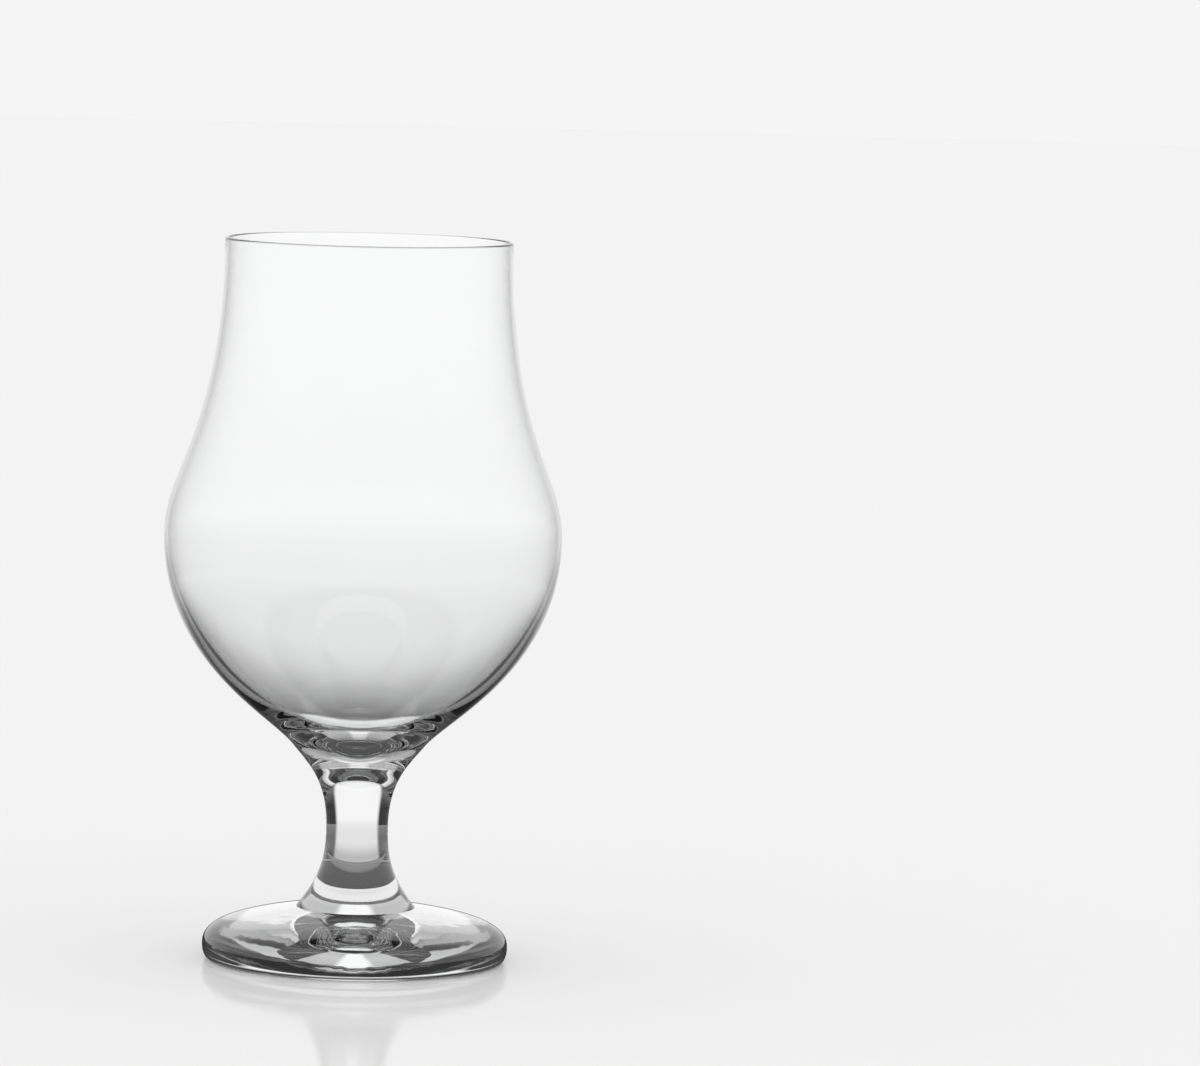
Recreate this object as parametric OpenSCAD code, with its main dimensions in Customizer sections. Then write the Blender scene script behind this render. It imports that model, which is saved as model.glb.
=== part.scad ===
// Stemmed tulip beer glass: a blown bowl on a drawn stem and a pressed foot.
// The three pieces are made apart and fused face to face. All lengths are in millimetres.
// The origin is on the table, at the middle of the foot, and Z points up the axis.

/* [Foot] */
// Height of the foot, from the table up to the face that the stem stands on
foot_h = 12; // [9:0.5:16]
// Diameter of the foot at its widest
foot_d = 70; // [56:0.5:90]
// Height of the widest line of the foot above the table
foot_edge_h = 3.2; // [2:0.1:5]
// Fall of the foot's top where it leaves the stem, in degrees
dome_angle = 9; // [4:1:18]
// Outside diameter of the ring that rests on the table
rest_ring_d = 67; // [52:0.5:69]
// Width of the ring that rests on the table
rest_ring_w = 4; // [2:0.5:8]
// Height of the hollow under the foot, at its middle
hollow_h = 2.2; // [0.5:0.1:4]

/* [Stem] */
// Height of the stem, from the foot up to the edge of its cup
stem_h = 37.5; // [25:0.5:60]
// Diameter of the stem's lower end, where it stands on the foot
stem_toe_d = 27.2; // [20:0.2:36]
// Slope of the outline at the stem's lower end, in degrees from upright
stem_toe_angle = 40; // [25:1:60]
// Diameter of the stem at its waist
waist_d = 14.1; // [9:0.1:20]
// Height of the waist above the foot
waist_rise = 18; // [12:0.5:24]
// Diameter of the stem's cup, where the bowl sits
cup_d = 30.6; // [22:0.2:40]
// Slope of the outline at the edge of the cup, in degrees from upright
cup_angle = 40; // [25:1:55]
// Depth of the cup, which the round bottom of the bowl fills
cup_depth = 4; // [2:0.1:6]

/* [Bowl] */
// Height of the bowl, from the edge of the cup up to the rim
bowl_h = 115.5; // [90:0.5:150]
// Outside diameter of the rim
rim_d = 65.6; // [50:0.2:80]
// Outside diameter of the bowl at its widest
belly_d = 90.8; // [76:0.2:110]
// Height of the widest line of the bowl above the edge of the cup
belly_rise = 48; // [38:0.5:60]
// Wall at the rim
rim_wall = 1; // [0.8:0.1:2.4]
// Wall at the widest line of the bowl
belly_wall = 1; // [0.8:0.1:3]
// Glass between the middle of the cup and the inside bottom of the bowl
base_thickness = 3.5; // [2:0.5:10]

/* [Hidden] */

// Straight stretches that stand for one curve, for the rounded lip, and round a full turn
curve_steps = 16;
lip_steps = 8;
turn_steps = 180;

// Heights of the faces where the pieces meet, and of the rim
stem_top = foot_h + stem_h;
rim_top = stem_top + bowl_h;

// Radii of the turned outlines
foot_r = foot_d / 2;
rest_ring_r = rest_ring_d / 2;
hollow_r = rest_ring_r - rest_ring_w;
toe_r = stem_toe_d / 2;
waist_r = waist_d / 2;
cup_r = cup_d / 2;
belly_r = belly_d / 2;
rim_r = rim_d / 2;
lip_r = rim_wall / 2;

// Stretches of height that the curves run over
waist_z = foot_h + waist_rise;
cup_rise = stem_top - waist_z;
belly_z = stem_top + belly_rise;
lip_z = rim_top - lip_r;
shoulder_rise = lip_z - belly_z;
inside_bottom_z = stem_top - cup_depth + base_thickness;
inside_rise = belly_z - inside_bottom_z;

// Lengths of the curves' handles, as shares of the stretch that each curve runs over
rim_handle_share = 0.635;
belly_upper_share = 0.215;
belly_lower_share = 0.615;
bowl_foot_share = 0.187;
inside_wall_share = 0.64;
inside_bottom_share = 0.19;
cup_handle_share = 0.33;
waist_upper_share = 0.56;
waist_lower_share = 0.315;
toe_handle_share = 0.51;
dome_share = 0.75;
foot_shoulder_share = 0.52;
foot_heel_share = 0.6;
heel_turn_share = 0.6;
hollow_middle_share = 0.55;
hollow_edge_share = 0.3;
seat_middle_share = 0.5;
seat_edge_share = 0.35;

// Points of a cubic curve from a to d, with the handles b and c
function curve(a, b, c, d) =
    [for (i = [0 : curve_steps])
        let (t = i / curve_steps, s = 1 - t)
        s * s * s * a + 3 * s * s * t * b + 3 * s * t * t * c + t * t * t * d];

// The step from a point along a slope that is given in degrees from upright
function slope_up(length, angle) = length * [sin(angle), cos(angle)];

// Every point of a list but its first, so that two curves can share an end
function after_first(points) = [for (i = [1 : len(points) - 1]) points[i]];

// The round seat, from its middle out to the edge of the cup: the stem's cup and the bowl's bottom
function seat_curve() = curve(
    [0, stem_top - cup_depth],
    [seat_middle_share * cup_r, stem_top - cup_depth],
    [cup_r, stem_top] - seat_edge_share * [cup_r, cup_depth],
    [cup_r, stem_top]);

// Outside of the bowl, from the edge of the cup up to the belly and on to the lip
function bowl_outside() = concat(
    curve(
        [cup_r, stem_top],
        [cup_r, stem_top] + slope_up(bowl_foot_share * belly_rise, cup_angle),
        [belly_r, belly_z - belly_lower_share * belly_rise],
        [belly_r, belly_z]),
    after_first(curve(
        [belly_r, belly_z],
        [belly_r, belly_z + belly_upper_share * shoulder_rise],
        [rim_r, lip_z - rim_handle_share * shoulder_rise],
        [rim_r, lip_z])));

// The rounded lip, from the outside of the rim over to its inside
function lip_curve() =
    [for (i = [1 : lip_steps - 1])
        let (turn = 180 * i / lip_steps)
        [rim_r - lip_r, lip_z] + lip_r * [cos(turn), sin(turn)]];

// Inside of the bowl, from the lip down to the belly and on to the middle of the bottom
function bowl_inside() = concat(
    curve(
        [rim_r - rim_wall, lip_z],
        [rim_r - rim_wall, lip_z - rim_handle_share * shoulder_rise],
        [belly_r - belly_wall, belly_z + belly_upper_share * shoulder_rise],
        [belly_r - belly_wall, belly_z]),
    after_first(curve(
        [belly_r - belly_wall, belly_z],
        [belly_r - belly_wall, belly_z - inside_wall_share * inside_rise],
        [inside_bottom_share * (belly_r - belly_wall), inside_bottom_z],
        [0, inside_bottom_z])));

// Side of the stem, from the edge of the cup down to the waist and on to the toe
function stem_side() = concat(
    curve(
        [cup_r, stem_top],
        [cup_r, stem_top] - slope_up(cup_handle_share * cup_rise, cup_angle),
        [waist_r, waist_z + waist_upper_share * cup_rise],
        [waist_r, waist_z]),
    after_first(curve(
        [waist_r, waist_z],
        [waist_r, waist_z - waist_lower_share * waist_rise],
        [toe_r, foot_h] + slope_up(toe_handle_share * waist_rise, -stem_toe_angle),
        [toe_r, foot_h])));

// The hollow under the foot, from its middle out to the resting ring
function hollow_curve() = curve(
    [0, hollow_h],
    [hollow_middle_share * hollow_r, hollow_h],
    [hollow_r, 0] + hollow_edge_share * [-hollow_r, hollow_h],
    [hollow_r, 0]);

// Edge and top of the foot, from the resting ring over the widest line to the stem
function foot_outside() = concat(
    curve(
        [rest_ring_r, 0],
        [rest_ring_r + heel_turn_share * (foot_r - rest_ring_r), 0],
        [foot_r, (1 - foot_heel_share) * foot_edge_h],
        [foot_r, foot_edge_h]),
    after_first(curve(
        [foot_r, foot_edge_h],
        [foot_r, foot_edge_h + foot_shoulder_share * (foot_h - foot_edge_h)],
        [toe_r, foot_h] + dome_share * (foot_r - toe_r) * [1, -tan(dome_angle)],
        [toe_r, foot_h])));

// A closed outline turned about the axis
module turned(points) {
    rotate_extrude($fn = turn_steps)
        polygon(points);
}

// The blown bowl, which sits in the stem's cup
module bowl() {
    color("aliceblue", 0.4)
        turned(concat(
            seat_curve(),
            after_first(bowl_outside()),
            lip_curve(),
            bowl_inside()));
}

// The solid stem, with a cup for the bowl and a flared end on the foot
module stem() {
    color("lightsteelblue", 0.4)
        turned(concat(
            seat_curve(),
            after_first(stem_side()),
            [[0, foot_h]]));
}

// The domed foot, with a flat face for the stem and a shallow hollow underneath
module foot() {
    color("lightcyan", 0.4)
        turned(concat(
            hollow_curve(),
            foot_outside(),
            [[0, foot_h]]));
}

bowl();
stem();
foot();
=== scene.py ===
"""Dresses the packed tulip beer glass: three spun pieces of clear glass on a pale studio floor."""

from math import cos, pi, radians, sin, tan

import bpy
from bpy.props import FloatProperty, FloatVectorProperty, IntProperty, PointerProperty
from bpy.types import Operator, Panel, PropertyGroup
from mathutils import Matrix, Vector


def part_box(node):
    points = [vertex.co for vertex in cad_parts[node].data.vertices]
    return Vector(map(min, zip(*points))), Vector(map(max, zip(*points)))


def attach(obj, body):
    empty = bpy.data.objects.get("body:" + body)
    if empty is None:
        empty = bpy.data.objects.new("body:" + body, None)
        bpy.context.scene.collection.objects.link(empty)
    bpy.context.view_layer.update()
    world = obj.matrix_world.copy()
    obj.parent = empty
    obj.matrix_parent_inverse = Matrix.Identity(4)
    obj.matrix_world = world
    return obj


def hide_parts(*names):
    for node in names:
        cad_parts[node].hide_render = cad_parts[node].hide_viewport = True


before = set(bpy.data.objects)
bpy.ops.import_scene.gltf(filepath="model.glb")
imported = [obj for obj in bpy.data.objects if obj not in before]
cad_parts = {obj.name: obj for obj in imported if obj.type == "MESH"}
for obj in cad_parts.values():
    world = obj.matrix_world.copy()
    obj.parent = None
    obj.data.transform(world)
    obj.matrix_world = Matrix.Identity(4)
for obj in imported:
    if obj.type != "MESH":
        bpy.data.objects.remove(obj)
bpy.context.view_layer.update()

bl_info = {
    "name": "Tulip Beer Glass",
    "version": (1, 0, 0),
    "blender": (4, 5, 0),
    "location": "3D View > Sidebar > Tulip Glass",
    "description": "Spins the bowl, stem and foot of a tulip beer glass and sets up its studio",
    "category": "Add Mesh",
}

# Heights and radii that the packed solids give, in metres
RIM_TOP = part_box("bowl")[1].z
BELLY_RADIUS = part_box("bowl")[1].x
SEAT_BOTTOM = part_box("bowl")[0].z
STEM_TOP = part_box("stem")[1].z
CUP_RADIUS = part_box("stem")[1].x
FOOT_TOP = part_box("foot")[1].z
FOOT_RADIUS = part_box("foot")[1].x

# Lengths of the outline's handles, as shares of the stretch that each curve runs over
RIM_HANDLE = 0.635
BELLY_UPPER = 0.215
BELLY_LOWER = 0.615
BOWL_FOOT = 0.187
INSIDE_WALL = 0.64
INSIDE_BOTTOM = 0.19
CUP_HANDLE = 0.33
WAIST_UPPER = 0.56
WAIST_LOWER = 0.315
TOE_HANDLE = 0.51
DOME = 0.75
FOOT_SHOULDER = 0.52
FOOT_HEEL = 0.6
HEEL_TURN = 0.6
HOLLOW_MIDDLE = 0.55
HOLLOW_EDGE = 0.3
SEAT_MIDDLE = 0.5
SEAT_EDGE = 0.35
QUARTER_ROUND = 4.0 / 3.0 * tan(pi / 8.0)

# Points closer than this are one point, in metres, and edges sharper than this stay sharp
WELD = 1e-6
CREASE = radians(25.0)

# Faces of the foot whose normal falls below this belong to its underside
DOWNWARD = -0.5

# Waves to the metre, their depth in metres, and the haze of each finish of the glass
BLOWN = {"ripple_scale": 35.0, "ripple_depth": 0.00001, "haze": 0.02}
DRAWN = {"ripple_scale": 60.0, "ripple_depth": 0.00001, "haze": 0.02}
PRESSED = {"ripple_scale": 120.0, "ripple_depth": 0.00003, "haze": 0.03}
UNDERSIDE = {"ripple_scale": 300.0, "ripple_depth": 0.00003, "haze": 0.08}

# Detail of the two noises, patches of haze to the metre, and the part of its noise that shows
RIPPLE_DETAIL = 1.0
HAZE_DETAIL = 3.0
HAZE_SCALE = 90.0
HAZE_START = 0.35
HAZE_END = 0.75

# Light that crosses the hollow of the bowl passes more faces of glass than this
HOLLOW_FACES = 3.5

# Light that is mirrored on the far outside of the bowl passes more faces of glass than this
FAR_WALL_FACES = 5.5

# Counts of how often light was mirrored that are closer than this are the same count
SAME_COUNT = 0.5

# Most faces that light is followed through, and most times that it is followed as it is mirrored
MOST_FACES = 32
MOST_MIRRORS = 16

# Painted shade: brightness of the glow of the dark cards, seen only through the glass, by the way out
# along the floor and up the card in metres
PAINTED_CARD_SHADE = (
    (0.0, 0.03), (0.05, 0.03), (0.065, 0.11), (0.13, 0.11), (0.16, 0.15), (0.225, 0.2), (0.299, 0.25),
    (0.3, 0.04), (0.38, 0.04), (0.42, 0.12), (0.46, 0.18), (0.5, 0.16), (0.56, 0.06), (1.0, 0.05))

# Painted shade and light: brightness of the floor's glow as the hollow bowl shows it, by the share of its
# reach from the axis; dark near the axis, a bright band, then dark rising to white
PAINTED_BOWL_FLOOR_LEVELS = (
    (0.0, 0.1), (0.031, 0.1), (0.036, 1.0), (0.068, 1.0), (0.072, 0.16), (0.0975, 0.24), (0.158, 0.4),
    (0.2, 0.52), (0.233, 0.66), (0.258, 0.76), (0.308, 0.86), (0.708, 0.91), (1.0, 1.0))

# Painted shade and light: brightness of the near floor's glow as solid glass shows it, by the share of its
# reach from the axis; dark under the foot and in a ring round its edge, with a bright ring just outside
PAINTED_SOLID_FLOOR_LEVELS = (
    (0.0, 0.09), (0.14, 0.07), (0.18, 0.1), (0.23, 0.36), (0.25, 0.4), (0.257, 0.03), (0.287, 0.03),
    (0.293, 0.85), (0.32, 0.85), (0.36, 0.5), (0.47, 0.48), (0.63, 0.6), (0.75, 0.7), (1.0, 0.78))

# Sides and roughness of the round floor, and sides of the ring that the dark cards are cut from
FLOOR_SIDES = 96
FLOOR_ROUGHNESS = 0.08
CARD_SIDES = 180

# Height of the lamp in metres, how widely its light is spread, and the light of the surround
LAMP_HEIGHT = 2.0
LAMP_SPREAD = radians(60.0)
WHITE = (1.0, 1.0, 1.0, 1.0)

# Width of the camera's sensor in millimetres, and how far it sees in metres
SENSOR_WIDTH = 36.0
FAR_CLIP = 100.0

# Spacing of the columns and rows in a node tree's layout
COLUMN_STEP = 220.0
ROW_STEP = 180.0

BODY = "root"


class TULIP_PG_bowl(PropertyGroup):
    """Sizes of the blown bowl."""

    rim_radius: FloatProperty(
        name="Rim radius", description="Outside radius of the rim",
        default=0.0328, min=0.02, unit="LENGTH")
    rim_wall: FloatProperty(
        name="Rim wall", description="Thickness of the rounded lip",
        default=0.001, min=0.0005, unit="LENGTH")
    belly_height: FloatProperty(
        name="Belly height", description="Height of the widest line above the table",
        default=0.0975, min=0.06, unit="LENGTH")
    belly_wall: FloatProperty(
        name="Belly wall", description="Thickness of the wall at the widest line",
        default=0.001, min=0.0005, unit="LENGTH")
    inside_bottom: FloatProperty(
        name="Inside bottom", description="Height of the inside bottom above the table",
        default=0.049, min=0.04, unit="LENGTH")


class TULIP_PG_stem(PropertyGroup):
    """Sizes of the solid stem."""

    cup_angle: FloatProperty(
        name="Cup angle", description="Slope of the outline at the cup, from upright",
        default=radians(40.0), subtype="ANGLE")
    waist_radius: FloatProperty(
        name="Waist radius", description="Radius of the stem where it is thinnest",
        default=0.00705, min=0.003, unit="LENGTH")
    waist_height: FloatProperty(
        name="Waist height", description="Height of the thinnest line above the table",
        default=0.03, min=0.015, unit="LENGTH")
    toe_radius: FloatProperty(
        name="Toe radius", description="Radius of the flared lower end, on the foot",
        default=0.0136, min=0.008, unit="LENGTH")
    toe_angle: FloatProperty(
        name="Toe angle", description="Slope of the outline at the lower end, from upright",
        default=radians(40.0), subtype="ANGLE")


class TULIP_PG_foot(PropertyGroup):
    """Sizes of the pressed foot."""

    edge_height: FloatProperty(
        name="Edge height", description="Height of the widest line above the table",
        default=0.0032, min=0.001, unit="LENGTH")
    dome_angle: FloatProperty(
        name="Dome angle", description="Fall of the top where it leaves the stem",
        default=radians(9.0), subtype="ANGLE")
    ring_radius: FloatProperty(
        name="Ring radius", description="Outside radius of the ring that rests on the table",
        default=0.0335, min=0.02, unit="LENGTH")
    ring_width: FloatProperty(
        name="Ring width", description="Width of the ring that rests on the table",
        default=0.004, min=0.001, unit="LENGTH")
    hollow_height: FloatProperty(
        name="Hollow height", description="Height of the hollow under the foot",
        default=0.0022, min=0.0, unit="LENGTH")


class TULIP_PG_glass(PropertyGroup):
    """Finish of the glass and fineness of the spun meshes."""

    turn_steps: IntProperty(
        name="Turn steps", description="Faces round a full turn", default=224, min=32)
    outline_steps: IntProperty(
        name="Outline steps", description="Faces along each curve of the outline",
        default=36, min=8)
    clear: FloatVectorProperty(
        name="Clear", description="Colour of the glass where it is clearest",
        default=(1.0, 1.0, 1.0), size=3, min=0.0, max=1.0, subtype="COLOR")
    tint: FloatVectorProperty(
        name="Tint", description="Colour of the glass where it is least clear",
        default=(0.985, 0.992, 0.99), size=3, min=0.0, max=1.0, subtype="COLOR")
    bending: FloatProperty(
        name="Index of refraction", description="How much the glass bends light",
        default=1.51, min=1.0, max=2.0)


class TULIP_PG_studio(PropertyGroup):
    """Camera, floor, dark cards and light, with painted shade and light on the floor and cards as the
    glass shows them.
    """

    camera_distance: FloatProperty(
        name="Camera distance", description="Level distance from the glass to the camera",
        default=1.5322, min=0.2, unit="LENGTH")
    camera_height: FloatProperty(
        name="Camera height", description="Height of the camera above the table",
        default=0.2399, unit="LENGTH")
    camera_pan: FloatProperty(
        name="Camera pan", description="Turn of the camera to the right of the glass",
        default=radians(2.019), subtype="ANGLE")
    camera_tilt: FloatProperty(
        name="Camera tilt", description="Turn of the camera below the level",
        default=radians(5.246), subtype="ANGLE")
    camera_roll: FloatProperty(
        name="Camera roll", description="Lean of the camera to the left",
        default=radians(1.421), subtype="ANGLE")
    lens: FloatProperty(
        name="Lens", description="Focal length on a sensor 36 mm wide, in millimetres",
        default=202.14, min=10.0)
    floor_radius: FloatProperty(
        name="Floor radius", description="Radius of the round studio floor",
        default=6.0, min=0.5, unit="LENGTH")
    floor_drop: FloatProperty(
        name="Floor drop", description="Gap that keeps the floor clear of the resting ring",
        default=0.0002, min=0.0, unit="LENGTH")
    floor_color: FloatVectorProperty(
        name="Floor color", description="Colour of the floor's matt part",
        default=(0.904, 0.904, 0.904), size=3, min=0.0, max=1.0, subtype="COLOR")
    floor_shine: FloatProperty(
        name="Floor shine", description="Share of the floor's look that is reflection",
        default=0.25, min=0.0, max=1.0, subtype="FACTOR")
    backdrop: FloatProperty(
        name="Backdrop", description="Brightness of the backdrop beside the glass",
        default=0.913, min=0.0, max=1.0, subtype="FACTOR")
    # Painted shade and light: these reaches set how the floor's glow, shown only through or mirrored in
    # the glass, fades to white away from the foot
    near_floor: FloatProperty(
        name="Near floor", description="Reach of the floor's darker part round the foot",
        default=0.128, min=0.05, unit="LENGTH")
    far_floor: FloatProperty(
        name="Far floor", description="Distance at which the floor seen through solid glass is white",
        default=0.5, min=0.1, unit="LENGTH")
    bowl_floor: FloatProperty(
        name="Bowl floor", description="Distance at which the floor seen through the bowl is white",
        default=1.2, min=0.1, unit="LENGTH")
    # Painted shade: the surround is dark overhead only in what the glass shows
    painted_top_dark: FloatProperty(
        name="Top dark", description="Brightness above the bright surround, seen through the glass",
        default=0.03, min=0.0, max=1.0, subtype="FACTOR")
    # Painted shade: the card settings place and soften the dark cards whose glow darkens the edges of the
    # glass
    card_near: FloatProperty(
        name="Card near", description="Distance from the glass to where the dark cards start on the floor",
        default=0.032, min=0.03, unit="LENGTH")
    card_distance: FloatProperty(
        name="Card distance", description="Distance from the glass to where the dark cards stand up",
        default=0.3, min=0.06, unit="LENGTH")
    card_height: FloatProperty(
        name="Card height", description="Height of the dark cards",
        default=0.3, min=0.05, unit="LENGTH")
    card_start: FloatProperty(
        name="Card start", description="Turn from straight behind the glass to a card's near edge",
        default=radians(26.0), subtype="ANGLE")
    card_soft: FloatProperty(
        name="Card softness", description="Width of a card's soft near edge",
        default=radians(8.0), subtype="ANGLE")
    card_mirror: FloatProperty(
        name="Card mirror", description="How much of a card shows in light that the glass mirrors",
        default=0.5, min=0.0, max=1.0, subtype="FACTOR")
    mirror_turn: FloatProperty(
        name="Mirror turn", description="Turn from straight behind the glass to a card's mirrored edge",
        default=radians(4.0), subtype="ANGLE")
    mirror_soft: FloatProperty(
        name="Mirror softness", description="Width of a card's soft mirrored edge",
        default=radians(4.0), subtype="ANGLE")
    card_end: FloatProperty(
        name="Card end", description="Turn from straight behind the glass to a card's far edge",
        default=radians(180.0), subtype="ANGLE")
    lit_height: FloatProperty(
        name="Lit height", description="Angle up to the top edge of the bright surround",
        default=radians(45.0), subtype="ANGLE")
    lit_soft: FloatProperty(
        name="Lit softness", description="Width of the surround's soft top edge",
        default=radians(6.0), subtype="ANGLE")
    # Painted reflection: the pale floor close by shows dark where the glass mirrors it, fading to white
    # between the mirror start and end
    painted_mirror_dark: FloatProperty(
        name="Mirror dark", description="Brightness of the floor close by, mirrored in the glass",
        default=0.05, min=0.0, max=1.0, subtype="FACTOR")
    mirror_start: FloatProperty(
        name="Mirror start", description="Distance at which the mirrored floor starts to fade to white",
        default=0.12, min=0.01, unit="LENGTH")
    mirror_end: FloatProperty(
        name="Mirror end", description="Distance at which the mirrored floor has faded to white",
        default=0.4, min=0.02, unit="LENGTH")
    lamp_strength: FloatProperty(
        name="Lamp strength", description="Strength of the soft lamp overhead",
        default=0.1, min=0.0)


def at(radius, height):
    """A point of an outline, by its radius and its height."""
    return Vector((radius, height))


def leaning(length, angle):
    """A step up an outline that leans outwards by an angle from upright."""
    return length * at(sin(angle), cos(angle))


def straight(start, end):
    """A stroke that runs straight from start to end."""
    return start, start.lerp(end, 1 / 3), start.lerp(end, 2 / 3), end


def seat_stroke():
    """The round seat of the bowl in the stem's cup, from its middle out to its edge."""
    middle = at(0.0, SEAT_BOTTOM)
    edge = at(CUP_RADIUS, STEM_TOP)
    out = at(SEAT_MIDDLE * CUP_RADIUS, 0.0)
    return middle, middle + out, edge - SEAT_EDGE * (edge - middle), edge


def bowl_strokes(bowl, stem):
    """Seat, outside, rounded lip and inside of the bowl, from the axis back to the axis."""
    lip_radius = bowl.rim_wall / 2.0
    lip_height = RIM_TOP - lip_radius
    belly_rise = bowl.belly_height - STEM_TOP
    shoulder = lip_height - bowl.belly_height
    inside_rise = bowl.belly_height - bowl.inside_bottom
    cup = at(CUP_RADIUS, STEM_TOP)
    belly = at(BELLY_RADIUS, bowl.belly_height)
    rim = at(bowl.rim_radius, lip_height)
    top = at(bowl.rim_radius - lip_radius, RIM_TOP)
    rim_inside = at(bowl.rim_radius - bowl.rim_wall, lip_height)
    belly_inside = at(BELLY_RADIUS - bowl.belly_wall, bowl.belly_height)
    bottom = at(0.0, bowl.inside_bottom)
    round_up = at(0.0, QUARTER_ROUND * lip_radius)
    round_out = at(QUARTER_ROUND * lip_radius, 0.0)
    to_rim = at(0.0, RIM_HANDLE * shoulder)
    to_shoulder = at(0.0, BELLY_UPPER * shoulder)
    return [
        seat_stroke(),
        (cup, cup + leaning(BOWL_FOOT * belly_rise, stem.cup_angle),
         belly - at(0.0, BELLY_LOWER * belly_rise), belly),
        (belly, belly + to_shoulder, rim - to_rim, rim),
        (rim, rim + round_up, top + round_out, top),
        (top, top - round_out, rim_inside + round_up, rim_inside),
        (rim_inside, rim_inside - to_rim, belly_inside + to_shoulder, belly_inside),
        (belly_inside, belly_inside - at(0.0, INSIDE_WALL * inside_rise),
         at(INSIDE_BOTTOM * belly_inside.x, bowl.inside_bottom), bottom),
    ]


def stem_strokes(stem):
    """Cup, flared side and flat lower end of the stem, from the axis back to the axis."""
    cup_rise = STEM_TOP - stem.waist_height
    waist_rise = stem.waist_height - FOOT_TOP
    cup = at(CUP_RADIUS, STEM_TOP)
    waist = at(stem.waist_radius, stem.waist_height)
    toe = at(stem.toe_radius, FOOT_TOP)
    return [
        seat_stroke(),
        (cup, cup - leaning(CUP_HANDLE * cup_rise, stem.cup_angle),
         waist + at(0.0, WAIST_UPPER * cup_rise), waist),
        (waist, waist - at(0.0, WAIST_LOWER * waist_rise),
         toe + leaning(TOE_HANDLE * waist_rise, -stem.toe_angle), toe),
        straight(toe, at(0.0, FOOT_TOP)),
    ]


def foot_strokes(foot, stem):
    """Hollow, resting ring, heel, domed top and flat land of the foot, from axis to axis."""
    inner = at(foot.ring_radius - foot.ring_width, 0.0)
    ring = at(foot.ring_radius, 0.0)
    edge = at(FOOT_RADIUS, foot.edge_height)
    toe = at(stem.toe_radius, FOOT_TOP)
    hollow = at(0.0, foot.hollow_height)
    heel_out = at(HEEL_TURN * (FOOT_RADIUS - foot.ring_radius), 0.0)
    dome_fall = at(1.0, -tan(foot.dome_angle))
    return [
        (hollow, hollow + at(HOLLOW_MIDDLE * inner.x, 0.0),
         inner + HOLLOW_EDGE * (hollow - inner), inner),
        straight(inner, ring),
        (ring, ring + heel_out, edge - at(0.0, FOOT_HEEL * foot.edge_height), edge),
        (edge, edge + at(0.0, FOOT_SHOULDER * (FOOT_TOP - foot.edge_height)),
         toe + DOME * (FOOT_RADIUS - stem.toe_radius) * dome_fall, toe),
        straight(toe, at(0.0, FOOT_TOP)),
    ]


def spin_piece(name, strokes, glass):
    """Draws the strokes as one outline, spins it about the upright axis and welds it shut."""
    bpy.ops.object.select_all(action="DESELECT")
    bpy.ops.curve.primitive_bezier_curve_add(location=(0.0, 0.0, 0.0))
    piece = bpy.context.active_object
    piece.name = name
    piece.data.dimensions = "3D"
    piece.data.resolution_u = glass.outline_steps
    knots = piece.data.splines[0].bezier_points
    knots.add(len(strokes) + 1 - len(knots))
    for knot in knots:
        knot.handle_left_type = "FREE"
        knot.handle_right_type = "FREE"
    for i, stroke in enumerate(strokes):
        start, leaving, arriving, end = (Vector((p.x, 0.0, p.y)) for p in stroke)
        knots[i].co = start
        knots[i].handle_right = leaving
        knots[i + 1].co = end
        knots[i + 1].handle_left = arriving
    knots[0].handle_left = knots[0].co
    knots[len(strokes)].handle_right = knots[len(strokes)].co
    bpy.ops.object.convert(target="MESH")
    bpy.ops.object.mode_set(mode="EDIT")
    bpy.ops.mesh.select_all(action="SELECT")
    bpy.ops.mesh.spin(
        steps=glass.turn_steps, angle=2.0 * pi, center=(0.0, 0.0, 0.0), axis=(0.0, 0.0, 1.0))
    bpy.ops.mesh.select_all(action="SELECT")
    bpy.ops.mesh.remove_doubles(threshold=WELD)
    bpy.ops.mesh.normals_make_consistent(inside=False)
    bpy.ops.object.mode_set(mode="OBJECT")
    bpy.ops.object.shade_smooth_by_angle(angle=CREASE)
    if not piece.data.polygons:
        raise RuntimeError(name + " has no faces: its outline could not be spun")
    return piece


def dress(piece, node, finishes, finish_at):
    """Gives each face the finish whose number finish_at gives, and puts the piece in the frame."""
    piece.data.materials.clear()
    for finish in finishes:
        piece.data.materials.append(finish)
    for face in piece.data.polygons:
        face.material_index = finish_at(face.center, face.normal)
    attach(piece, BODY)
    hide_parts(node)


def add_node(tree, kind, column, row, **settings):
    """Adds a node at a place in the tree's layout and sets its options."""
    node = tree.nodes.new(kind)
    node.location = (COLUMN_STEP * column, -ROW_STEP * row)
    for option, value in settings.items():
        setattr(node, option, value)
    return node


def empty_tree(owner):
    """Turns on the owner's nodes and clears them."""
    owner.use_nodes = True
    owner.node_tree.nodes.clear()
    return owner.node_tree


def feed(tree, socket, value):
    """Links a value to a socket if it is a socket too, and otherwise sets it there."""
    if isinstance(value, bpy.types.NodeSocket):
        tree.links.new(value, socket)
    else:
        socket.default_value = value


def worked_out(tree, column, row, operation, *values, clamp=False):
    """Adds one operation on numbers or sockets, and returns its result."""
    node = add_node(tree, "ShaderNodeMath", column, row, operation=operation, use_clamp=clamp)
    for socket, value in zip(node.inputs, values):
        feed(tree, socket, value)
    return node.outputs["Value"]


def between(tree, column, row, factor, low, high):
    """Adds a mix of two numbers or sockets, and returns its result."""
    mix = add_node(tree, "ShaderNodeMix", column, row, data_type="FLOAT")
    feed(tree, mix.inputs["Factor"], factor)
    feed(tree, mix.inputs["A"], low)
    feed(tree, mix.inputs["B"], high)
    return mix.outputs["Result"]


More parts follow.
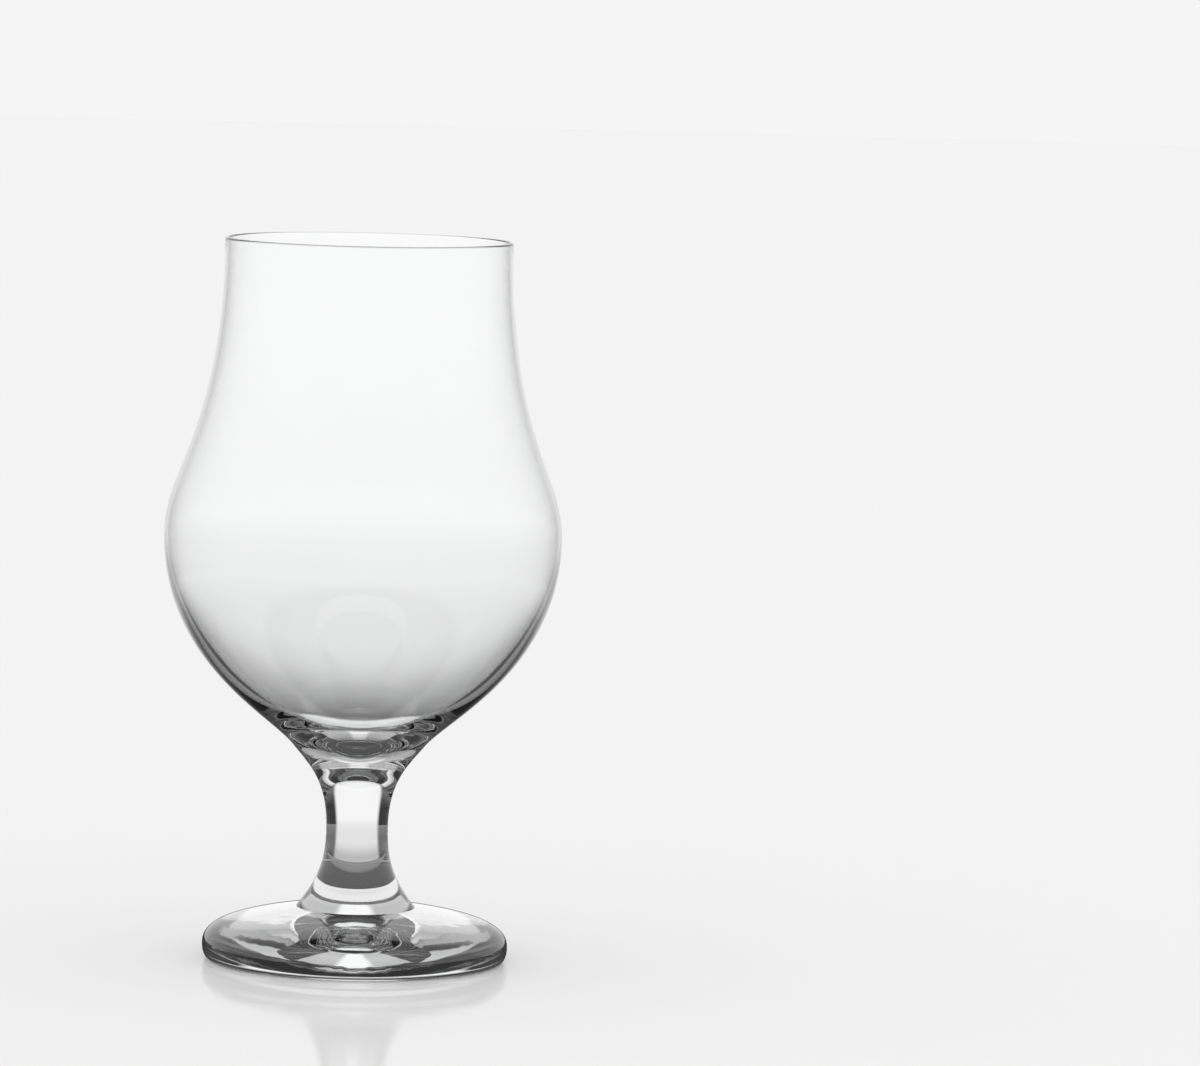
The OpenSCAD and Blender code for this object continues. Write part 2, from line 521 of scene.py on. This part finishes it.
def fade(tree, column, row, value, start, end, low=0.0, high=1.0, kind="LINEAR"):
    """Adds a change from low, where value is start, to high, where it is end; returns its result."""
    node = add_node(tree, "ShaderNodeMapRange", column, row, interpolation_type=kind)
    feed(tree, node.inputs["Value"], value)
    feed(tree, node.inputs["From Min"], start)
    feed(tree, node.inputs["From Max"], end)
    feed(tree, node.inputs["To Min"], low)
    feed(tree, node.inputs["To Max"], high)
    return node.outputs["Result"]


def noise(tree, column, row, place, scale, detail):
    """Adds a noise over a place, and returns its value."""
    node = add_node(tree, "ShaderNodeTexNoise", column, row)
    feed(tree, node.inputs["Vector"], place)
    feed(tree, node.inputs["Scale"], scale)
    feed(tree, node.inputs["Detail"], detail)
    return node.outputs["Fac"]


def shade_ramp(tree, column, row, shades, share):
    """Adds a ramp of greys, from pairs of a share from 0 to 1 and a brightness; returns its colour."""
    ramp = add_node(tree, "ShaderNodeValToRGB", column, row)
    stops = ramp.color_ramp.elements
    for place, _ in shades[1:-1]:
        stops.new(place)
    for stop, (_, level) in zip(stops, shades):
        stop.color = (level, level, level, 1.0)
    feed(tree, ramp.inputs["Fac"], share)
    return ramp.outputs["Color"]


def mixed(tree, column, row, factor, first, second):
    """Adds a mix of two shaders, and returns its result."""
    mix = add_node(tree, "ShaderNodeMixShader", column, row)
    for socket, value in zip(mix.inputs, (factor, first, second)):
        feed(tree, socket, value)
    return mix.outputs["Shader"]


def worked_surface():
    """The ripple and the faint haze of worked glass, built once for every glass finish."""
    name = "worked_surface"
    if name in bpy.data.node_groups:
        return bpy.data.node_groups[name]
    tree = bpy.data.node_groups.new(name, "ShaderNodeTree")
    number = "NodeSocketFloat"
    color = "NodeSocketColor"
    sockets = (
        ("Ripple Scale", "INPUT", number), ("Haze Scale", "INPUT", number), ("Haze", "INPUT", number),
        ("Clear", "INPUT", color), ("Tint", "INPUT", color),
        ("Color", "OUTPUT", color), ("Roughness", "OUTPUT", number), ("Height", "OUTPUT", number))
    for label, way, kind in sockets:
        tree.interface.new_socket(name=label, in_out=way, socket_type=kind)
    given = add_node(tree, "NodeGroupInput", 0, 0)
    result = add_node(tree, "NodeGroupOutput", 4, 0)
    place = add_node(tree, "ShaderNodeTexCoord", 0, 2)
    ripple = noise(tree, 1, 2, place.outputs["Object"], given.outputs["Ripple Scale"], RIPPLE_DETAIL)
    film = noise(tree, 1, 0, place.outputs["Object"], given.outputs["Haze Scale"], HAZE_DETAIL)
    haze = fade(tree, 2, 0, film, HAZE_START, HAZE_END, high=given.outputs["Haze"])
    tinted = add_node(tree, "ShaderNodeMix", 3, 1, data_type="RGBA")
    links = tree.links
    links.new(film, tinted.inputs["Factor"])
    links.new(given.outputs["Clear"], tinted.inputs["A"])
    links.new(given.outputs["Tint"], tinted.inputs["B"])
    links.new(tinted.outputs["Result"], result.inputs["Color"])
    links.new(haze, result.inputs["Roughness"])
    links.new(ripple, result.inputs["Height"])
    return tree


def glass_finish(name, glass, ripple_scale, ripple_depth, haze):
    """Clear glass with its own ripple, in waves to the metre and metres deep, and its own haze."""
    finish = bpy.data.materials.new(name)
    tree = empty_tree(finish)
    surface = add_node(tree, "ShaderNodeGroup", 0, 0, node_tree=worked_surface())
    surface.inputs["Ripple Scale"].default_value = ripple_scale
    surface.inputs["Haze Scale"].default_value = HAZE_SCALE
    surface.inputs["Haze"].default_value = haze
    surface.inputs["Clear"].default_value = (*glass.clear, 1.0)
    surface.inputs["Tint"].default_value = (*glass.tint, 1.0)
    bump = add_node(tree, "ShaderNodeBump", 1, 1)
    bump.inputs["Strength"].default_value = 1.0
    bump.inputs["Distance"].default_value = ripple_depth
    shader = add_node(tree, "ShaderNodeBsdfPrincipled", 2, 0)
    shader.inputs["Transmission Weight"].default_value = 1.0
    shader.inputs["IOR"].default_value = glass.bending
    output = add_node(tree, "ShaderNodeOutputMaterial", 4, 0)
    links = tree.links
    links.new(surface.outputs["Color"], shader.inputs["Base Color"])
    links.new(surface.outputs["Roughness"], shader.inputs["Roughness"])
    links.new(surface.outputs["Height"], bump.inputs["Height"])
    links.new(bump.outputs["Normal"], shader.inputs["Normal"])
    links.new(shader.outputs["BSDF"], output.inputs["Surface"])
    return finish


def fused_seam():
    """The faces where two pieces are fused: light runs straight on through them."""
    name = "fused_seam"
    if name in bpy.data.materials:
        return bpy.data.materials[name]
    seam = bpy.data.materials.new(name)
    tree = empty_tree(seam)
    shader = add_node(tree, "ShaderNodeBsdfPrincipled", 0, 0)
    shader.inputs["Alpha"].default_value = 0.0
    output = add_node(tree, "ShaderNodeOutputMaterial", 2, 0)
    tree.links.new(shader.outputs["BSDF"], output.inputs["Surface"])
    return seam


def crossed(tree, column, row, path, faces, mirrored):
    """Adds a test for light that passed more faces of glass than faces, and was mirrored so often."""
    enough = worked_out(tree, column, row, "GREATER_THAN", path["Transmission Depth"], faces)
    as_often = worked_out(tree, column, row + 1, "COMPARE", path["Glossy Depth"], mirrored, SAME_COUNT)
    return worked_out(tree, column + 1, row, "MULTIPLY", enough, as_often)


def studio_light(studio):
    """A plain white surround, which is dark overhead for what is seen through glass: painted shade, as
    light that reaches the floor still sees it white.
    """
    world = bpy.data.worlds.new("studio_light")
    bpy.context.scene.world = world
    tree = empty_tree(world)
    path = add_node(tree, "ShaderNodeLightPath", 0, 0).outputs
    place = add_node(tree, "ShaderNodeTexCoord", 0, 2)
    parts = add_node(tree, "ShaderNodeSeparateXYZ", 1, 2)
    tree.links.new(place.outputs["Generated"], parts.inputs["Vector"])
    lit_end = sin(studio.lit_height - studio.lit_soft / 2.0)
    dark_start = sin(studio.lit_height + studio.lit_soft / 2.0)
    top = fade(tree, 2, 2, parts.outputs["Z"], lit_end, dark_start, kind="SMOOTHSTEP")
    spared = crossed(tree, 1, 4, path, FAR_WALL_FACES, 1)
    overhead = worked_out(tree, 3, 3, "SUBTRACT", top, spared, clamp=True)
    through = between(tree, 4, 2, overhead, 1.0, studio.painted_top_dark)
    seen = worked_out(
        tree, 4, 1, "SUBTRACT", path["Is Transmission Ray"], path["Diffuse Depth"], clamp=True)
    lit = between(tree, 5, 1, seen, 1.0, through)
    level = between(tree, 6, 0, path["Is Camera Ray"], lit, studio.backdrop)
    background = add_node(tree, "ShaderNodeBackground", 7, 0)
    background.inputs["Color"].default_value = WHITE
    output = add_node(tree, "ShaderNodeOutputWorld", 8, 0)
    tree.links.new(level, background.inputs["Strength"])
    tree.links.new(background.outputs["Background"], output.inputs["Surface"])


def painted_floor_levels(tree, studio, path):
    """Adds the painted shade and light of the floor's glow as the glass shows it, by the distance from the
    axis, with a painted dark reflection close by in mirrored light.
    """
    place = add_node(tree, "ShaderNodeTexCoord", 0, 3)
    length = add_node(tree, "ShaderNodeVectorMath", 1, 3, operation="LENGTH")
    tree.links.new(place.outputs["Object"], length.inputs[0])
    reach = length.outputs["Value"]
    near = shade_ramp(tree, 3, 3, PAINTED_SOLID_FLOOR_LEVELS, fade(tree, 2, 3, reach, 0.0, studio.near_floor))
    far = fade(tree, 3, 5, reach, studio.near_floor, studio.far_floor)
    solid = between(tree, 5, 3, far, near, 1.0)
    bowl = shade_ramp(tree, 3, 7, PAINTED_BOWL_FLOOR_LEVELS, fade(tree, 2, 7, reach, 0.0, studio.bowl_floor))
    hollow = crossed(tree, 3, 9, path, HOLLOW_FACES, 0)
    through = between(tree, 6, 4, hollow, solid, bowl)
    mirror = fade(
        tree, 6, 6, reach, studio.mirror_start, studio.mirror_end,
        low=studio.painted_mirror_dark, kind="SMOOTHSTEP")
    return between(tree, 7, 3, path["Is Transmission Ray"], mirror, through)


def floor_with_painted_levels(studio):
    """A pale floor with a soft shine; through the glass it is darker under the foot and close by, a glow
    of painted shade and light.
    """
    finish = bpy.data.materials.new("studio_floor")
    tree = empty_tree(finish)
    path = add_node(tree, "ShaderNodeLightPath", 0, 5).outputs
    matt = add_node(tree, "ShaderNodeBsdfDiffuse", 0, 0)
    matt.inputs["Color"].default_value = (*studio.floor_color, 1.0)
    gloss = add_node(tree, "ShaderNodeBsdfGlossy", 0, 1)
    gloss.inputs["Roughness"].default_value = FLOOR_ROUGHNESS
    plain = mixed(tree, 1, 0, studio.floor_shine, matt.outputs["BSDF"], gloss.outputs["BSDF"])
    # Painted shade and light: a glow that the floor shows only through or mirrored in the glass, in place
    # of its lit look
    light = add_node(tree, "ShaderNodeEmission", 8, 2)
    tree.links.new(painted_floor_levels(tree, studio, path), light.inputs["Strength"])
    in_glass = worked_out(tree, 7, 1, "MAXIMUM", path["Is Transmission Ray"], path["Is Glossy Ray"])
    looked_at = worked_out(tree, 8, 1, "SUBTRACT", in_glass, path["Diffuse Depth"], clamp=True)
    seen = mixed(tree, 9, 0, looked_at, plain, light.outputs["Emission"])
    output = add_node(tree, "ShaderNodeOutputMaterial", 10, 0)
    tree.links.new(seen, output.inputs["Surface"])
    return finish


def shown_card(tree, studio, path, turn):
    """Adds how much of a card's painted shade shows, by its turn, with a nearer edge for light that glass
    mirrored.
    """
    edge = fade(
        tree, 4, 3, turn, cos(studio.card_start), cos(studio.card_start + studio.card_soft),
        kind="SMOOTHSTEP")
    painted_mirror_shade = fade(
        tree, 4, 5, turn, cos(studio.mirror_turn), cos(studio.mirror_turn + studio.mirror_soft),
        high=studio.card_mirror, kind="SMOOTHSTEP")
    mirrored = worked_out(tree, 4, 7, "MINIMUM", path["Glossy Depth"], 1.0)
    bounced = worked_out(tree, 5, 5, "MULTIPLY", painted_mirror_shade, mirrored)
    return worked_out(tree, 6, 3, "MAXIMUM", edge, bounced)


def painted_card_material(studio):
    """Painted shade: a dark glowing card with soft edges, clear to light that crosses the bowl or lights
    the floor.
    """
    finish = bpy.data.materials.new("dark_card")
    tree = empty_tree(finish)
    links = tree.links
    path = add_node(tree, "ShaderNodeLightPath", 0, 5).outputs
    place = add_node(tree, "ShaderNodeTexCoord", 0, 1)
    parts = add_node(tree, "ShaderNodeSeparateXYZ", 1, 1)
    level_place = add_node(tree, "ShaderNodeVectorMath", 1, 2, operation="MULTIPLY")
    level_place.inputs[1].default_value = (1.0, 1.0, 0.0)
    length = add_node(tree, "ShaderNodeVectorMath", 2, 2, operation="LENGTH")
    links.new(place.outputs["Object"], parts.inputs["Vector"])
    links.new(place.outputs["Object"], level_place.inputs[0])
    links.new(level_place.outputs["Vector"], length.inputs[0])
    reach = length.outputs["Value"]
    way = worked_out(tree, 3, 1, "ADD", reach, parts.outputs["Z"])
    turn = worked_out(tree, 3, 3, "DIVIDE", parts.outputs["Y"], reach)
    # Painted shade: the card glows at its dark levels in place of being lit
    light = add_node(tree, "ShaderNodeEmission", 8, 2)
    links.new(shade_ramp(tree, 4, 1, PAINTED_CARD_SHADE, way), light.inputs["Color"])
    straight_on = crossed(tree, 1, 8, path, HOLLOW_FACES, 0)
    mirrored_once = crossed(tree, 1, 10, path, HOLLOW_FACES, 1)
    in_bowl = worked_out(tree, 3, 8, "ADD", straight_on, mirrored_once)
    spared = worked_out(tree, 4, 8, "ADD", in_bowl, path["Diffuse Depth"])
    shown = shown_card(tree, studio, path, turn)
    dark = worked_out(tree, 7, 3, "SUBTRACT", shown, spared, clamp=True)
    clear = add_node(tree, "ShaderNodeBsdfTransparent", 8, 1)
    seen = mixed(tree, 9, 1, dark, clear.outputs["BSDF"], light.outputs["Emission"])
    output = add_node(tree, "ShaderNodeOutputMaterial", 10, 1)
    links.new(seen, output.inputs["Surface"])
    return finish


def dark_card(name, studio, finish, near, height):
    """A strip of painted shade round both sides of the glass, out to the cards' distance, open straight
    behind it, seen only through the glass.
    """
    bpy.ops.object.select_all(action="DESELECT")
    bpy.ops.mesh.primitive_cone_add(
        vertices=CARD_SIDES, radius1=near, radius2=studio.card_distance, depth=height,
        end_fill_type="NOTHING", location=(0.0, 0.0, height / 2.0))
    bpy.ops.object.transform_apply(location=True)
    card = bpy.context.active_object
    card.name = name
    back = Vector((0.0, 1.0))
    bpy.ops.object.mode_set(mode="EDIT")
    bpy.ops.mesh.select_all(action="DESELECT")
    bpy.ops.object.mode_set(mode="OBJECT")
    for face in card.data.polygons:
        face.select = not studio.mirror_turn < face.center.to_2d().angle(back) < studio.card_end
    bpy.ops.object.mode_set(mode="EDIT")
    bpy.ops.mesh.delete(type="FACE")
    bpy.ops.object.mode_set(mode="OBJECT")
    card.data.materials.append(finish)
    card.visible_camera = False
    card.visible_diffuse = False
    card.visible_glossy = False
    card.visible_shadow = False
    return card


def painted_shade_cards(studio):
    """Painted shade: dark cards at both sides of the glass, on the floor and upright, which darken its
    edges.
    """
    finish = painted_card_material(studio)
    dark_card("upright_cards", studio, finish, studio.card_distance, studio.card_height)
    floor_cards = dark_card("floor_cards", studio, finish, studio.card_near, 0.0)
    floor_cards.location.z = -studio.floor_drop / 2.0


def set_camera(studio):
    """A long lens in front of the glass, a little above it, turned to its right."""
    bpy.ops.object.select_all(action="DESELECT")
    aim = (
        Matrix.Rotation(-studio.camera_pan, 3, "Z")
        @ Matrix.Rotation(pi / 2.0 - studio.camera_tilt, 3, "X")
        @ Matrix.Rotation(studio.camera_roll, 3, "Z"))
    bpy.ops.object.camera_add(
        location=(0.0, -studio.camera_distance, studio.camera_height), rotation=aim.to_euler())
    camera = bpy.context.active_object
    camera.name = "studio_camera"
    camera.data.sensor_width = SENSOR_WIDTH
    camera.data.lens = studio.lens
    camera.data.clip_end = FAR_CLIP
    bpy.context.scene.camera = camera


class TULIP_OT_add_bowl(Operator):
    """Spin the bowl with its thick bottom, thin wall and rounded lip"""

    bl_idname = "tulip_glass.add_bowl"
    bl_label = "Add Bowl"
    bl_options = {"REGISTER", "UNDO"}

    def execute(self, context):
        scene = context.scene
        glass = scene.tulip_glass
        strokes = bowl_strokes(scene.tulip_bowl, scene.tulip_stem)
        piece = spin_piece("bowl_glass", strokes, glass)
        finish = glass_finish("blown_glass", glass, **BLOWN)

        def finish_at(place, facing):
            return 1 if place.z < STEM_TOP and facing.z < 0.0 else 0

        dress(piece, "bowl", (finish, fused_seam()), finish_at)
        return {"FINISHED"}


class TULIP_OT_add_stem(Operator):
    """Spin the solid stem with its cup, waist and flared lower end"""

    bl_idname = "tulip_glass.add_stem"
    bl_label = "Add Stem"
    bl_options = {"REGISTER", "UNDO"}

    def execute(self, context):
        scene = context.scene
        glass = scene.tulip_glass
        stem = scene.tulip_stem
        piece = spin_piece("stem_glass", stem_strokes(stem), glass)
        finish = glass_finish("drawn_glass", glass, **DRAWN)

        def finish_at(place, facing):
            in_cup = place.z > stem.waist_height and facing.z > 0.0
            on_foot = place.z < FOOT_TOP + WELD
            return 1 if in_cup or on_foot else 0

        dress(piece, "stem", (finish, fused_seam()), finish_at)
        return {"FINISHED"}


class TULIP_OT_add_foot(Operator):
    """Spin the domed foot with its resting ring and the hollow underneath"""

    bl_idname = "tulip_glass.add_foot"
    bl_label = "Add Foot"
    bl_options = {"REGISTER", "UNDO"}

    def execute(self, context):
        scene = context.scene
        glass = scene.tulip_glass
        foot = scene.tulip_foot
        strokes = foot_strokes(foot, scene.tulip_stem)
        piece = spin_piece("foot_glass", strokes, glass)
        top = glass_finish("pressed_glass", glass, **PRESSED)
        underside = glass_finish("pressed_underside", glass, **UNDERSIDE)

        def finish_at(place, facing):
            if place.z > FOOT_TOP - WELD:
                return 2
            return 1 if place.z < foot.edge_height and facing.z < DOWNWARD else 0

        dress(piece, "foot", (top, underside, fused_seam()), finish_at)
        return {"FINISHED"}


class TULIP_OT_set_stage(Operator):
    """Set up the light, the floor, the camera and the dark cards of painted shade"""

    bl_idname = "tulip_glass.set_stage"
    bl_label = "Set Stage"
    bl_options = {"REGISTER", "UNDO"}

    def execute(self, context):
        scene = context.scene
        studio = scene.tulip_studio
        studio_light(studio)
        bpy.ops.object.select_all(action="DESELECT")
        bpy.ops.mesh.primitive_circle_add(
            vertices=FLOOR_SIDES, radius=studio.floor_radius, fill_type="NGON",
            location=(0.0, 0.0, -studio.floor_drop))
        floor = context.active_object
        floor.name = "studio_floor"
        floor.data.materials.append(floor_with_painted_levels(studio))
        bpy.ops.object.light_add(type="SUN", location=(0.0, 0.0, LAMP_HEIGHT))
        lamp = context.active_object
        lamp.name = "soft_lamp"
        lamp.data.energy = studio.lamp_strength
        lamp.data.angle = LAMP_SPREAD
        lamp.visible_transmission = False
        lamp.visible_glossy = False
        set_camera(studio)
        painted_shade_cards(studio)
        scene.view_settings.view_transform = "Standard"
        scene.cycles.max_bounces = MOST_FACES
        scene.cycles.transmission_bounces = MOST_FACES
        scene.cycles.glossy_bounces = MOST_MIRRORS
        return {"FINISHED"}


class TULIP_PT_sidebar(Panel):
    """Lists the glass's pieces and its studio"""

    bl_idname = "TULIP_PT_sidebar"
    bl_label = "Tulip Glass"
    bl_space_type = "VIEW_3D"
    bl_region_type = "UI"
    bl_category = "Tulip Glass"

    def draw(self, context):
        layout = self.layout
        for name, group in GROUPS:
            box = layout.box()
            box.label(text=group.__doc__)
            settings = getattr(context.scene, name)
            for key in group.__annotations__:
                box.prop(settings, key)
        for operator in OPERATORS:
            layout.operator(operator.bl_idname)


GROUPS = (
    ("tulip_bowl", TULIP_PG_bowl),
    ("tulip_stem", TULIP_PG_stem),
    ("tulip_foot", TULIP_PG_foot),
    ("tulip_glass", TULIP_PG_glass),
    ("tulip_studio", TULIP_PG_studio),
)
OPERATORS = (TULIP_OT_add_bowl, TULIP_OT_add_stem, TULIP_OT_add_foot, TULIP_OT_set_stage)


def register():
    """Registers the classes and hangs the settings on the scene."""
    for name, group in GROUPS:
        bpy.utils.register_class(group)
        setattr(bpy.types.Scene, name, PointerProperty(type=group))
    for operator in OPERATORS:
        bpy.utils.register_class(operator)
    bpy.utils.register_class(TULIP_PT_sidebar)


def unregister():
    """Takes away what register added."""
    bpy.utils.unregister_class(TULIP_PT_sidebar)
    for operator in reversed(OPERATORS):
        bpy.utils.unregister_class(operator)
    for name, group in reversed(GROUPS):
        delattr(bpy.types.Scene, name)
        bpy.utils.unregister_class(group)


def main():
    register()
    bpy.ops.tulip_glass.add_bowl()
    bpy.ops.tulip_glass.add_stem()
    bpy.ops.tulip_glass.add_foot()
    bpy.ops.tulip_glass.set_stage()


if __name__ == "__main__":
    main()
